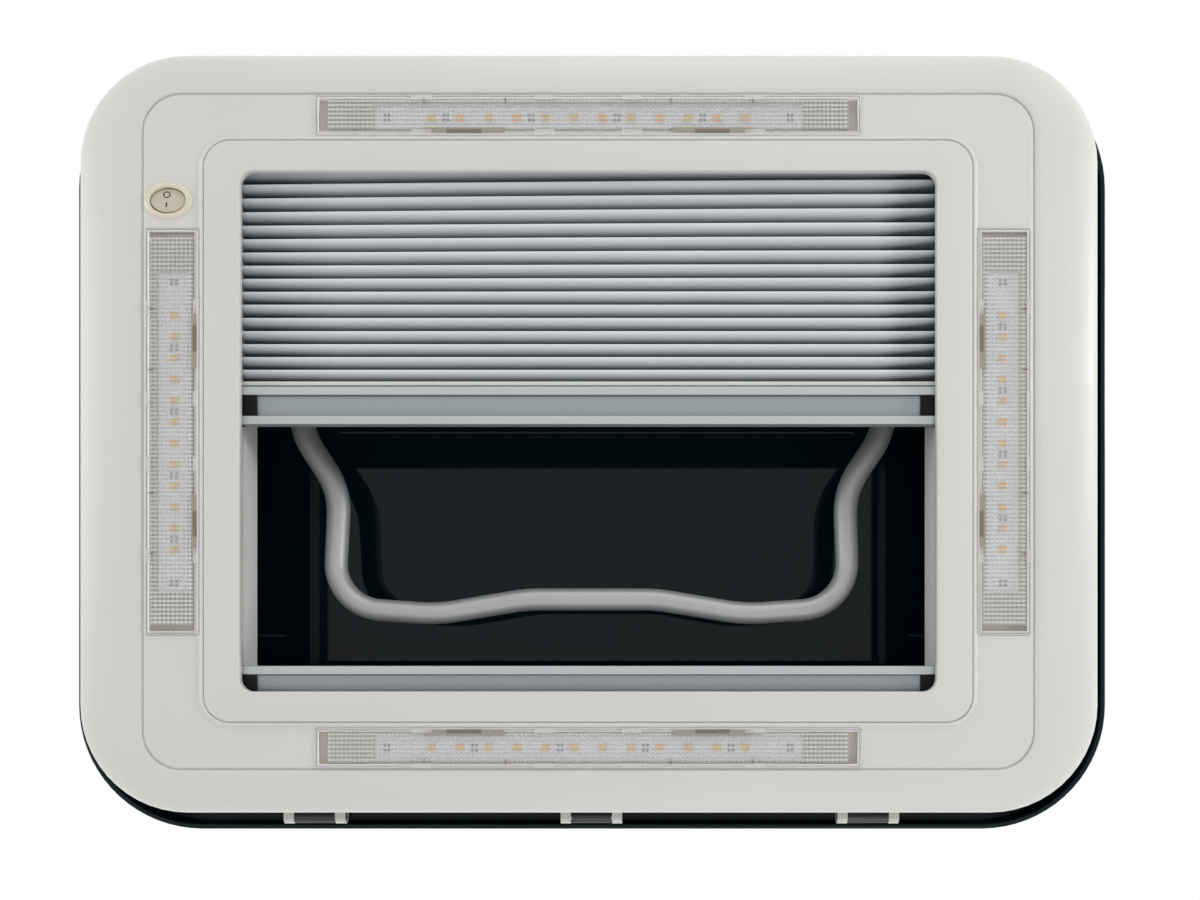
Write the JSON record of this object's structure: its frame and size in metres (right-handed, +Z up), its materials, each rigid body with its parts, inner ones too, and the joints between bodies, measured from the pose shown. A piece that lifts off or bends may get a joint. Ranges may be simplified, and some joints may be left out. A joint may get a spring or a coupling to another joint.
{
  "type": "camper roof hatch",
  "caption": "Camper roof hatch with a white lit inner frame, half drawn pleated blind, bow handle and hinged smoked dome for a rectangular roof cut-out.",
  "frame": {"origin": "middle of the hatch at the room side of its inner frame", "axes": "+X along the long side, +Y towards the hinges, +Z up through the dome"},
  "size_m": [0.83, 0.618, 0.138],
  "materials": {
    "frame_white": "off-white moulded plastic, fine satin grain",
    "lamp_clear": "clear prismatic plastic",
    "board_white": "white coated light board",
    "switch_cream": "cream plastic, semi gloss",
    "rail_white": "white plastic profile",
    "bar_grey": "silver grey profile",
    "cap_black": "black plastic",
    "pleat_cloth": "silver grey pleated black-out cloth",
    "outer_white": "white moulded plastic",
    "seal_rubber": "black foam rubber",
    "smoked_acrylic": "dark smoked acrylic, polished",
    "bow_grey": "light grey powder coat",
    "pin_steel": "plain steel",
    "hinge_dark": "dark moulded plastic"
  },
  "bodies": {
    "frame": {"inner_frame": "frame_white", "switch_bezel": "switch_cream", "blind_cassette": "rail_white", "screen_cassette": "rail_white", "screen_bar": "bar_grey", "blind_cloth": "pleat_cloth", "outer_frame": "outer_white", "dome_seal": "seal_rubber", "lamp_cover_front": "lamp_clear", "light_board_front": "board_white", "lamp_cover_rear": "lamp_clear", "light_board_rear": "board_white", "lamp_cover_left": "lamp_clear", "light_board_left": "board_white", "lamp_cover_right": "lamp_clear", "light_board_right": "board_white", "side_rail_left": "rail_white", "screen_bar_cap_left": "cap_black", "side_rail_right": "rail_white", "screen_bar_cap_right": "cap_black", "hinge_pin_left": "pin_steel", "hinge_pin_middle": "pin_steel", "hinge_pin_right": "pin_steel"},
    "dome": {"dome_outer": "smoked_acrylic", "dome_inner": "smoked_acrylic", "hinge_leaf_left": "hinge_dark", "hinge_leaf_middle": "hinge_dark", "hinge_leaf_right": "hinge_dark", "bow_bracket_left": "hinge_dark", "bow_bracket_right": "hinge_dark", "bow_pin_left": "pin_steel", "bow_pin_right": "pin_steel"},
    "bow": {"bow": "bow_grey"},
    "blind": {"blind_bar": "bar_grey", "blind_bar_cap_left": "cap_black", "blind_bar_cap_right": "cap_black"},
    "rocker": {"switch_rocker": "switch_cream"}
  },
  "joints": [
    {"name": "dome_hinge", "type": "hinge", "parent": "frame", "child": "dome", "pos_m": [0, 0.298, 0.059], "axis": [-1, 0, 0], "range_deg": [0, 60]},
    {"name": "bow_pivot", "type": "hinge", "parent": "dome", "child": "bow", "pos_m": [0.24, -0.142, 0.1], "axis": [1, 0, 0], "range_deg": [0, 10]},
    {"name": "blind_slide", "type": "slide", "parent": "frame", "child": "blind", "axis": [0, 1, 0], "range_m": [-0.1718, 0.1772], "deforming": ["blind_cloth"]},
    {"name": "rocker_tilt", "type": "hinge", "parent": "frame", "child": "rocker", "pos_m": [-0.315, -0.173, 0.0046], "axis": [1, 0, 0], "range_deg": [0, 12]}
  ]
}
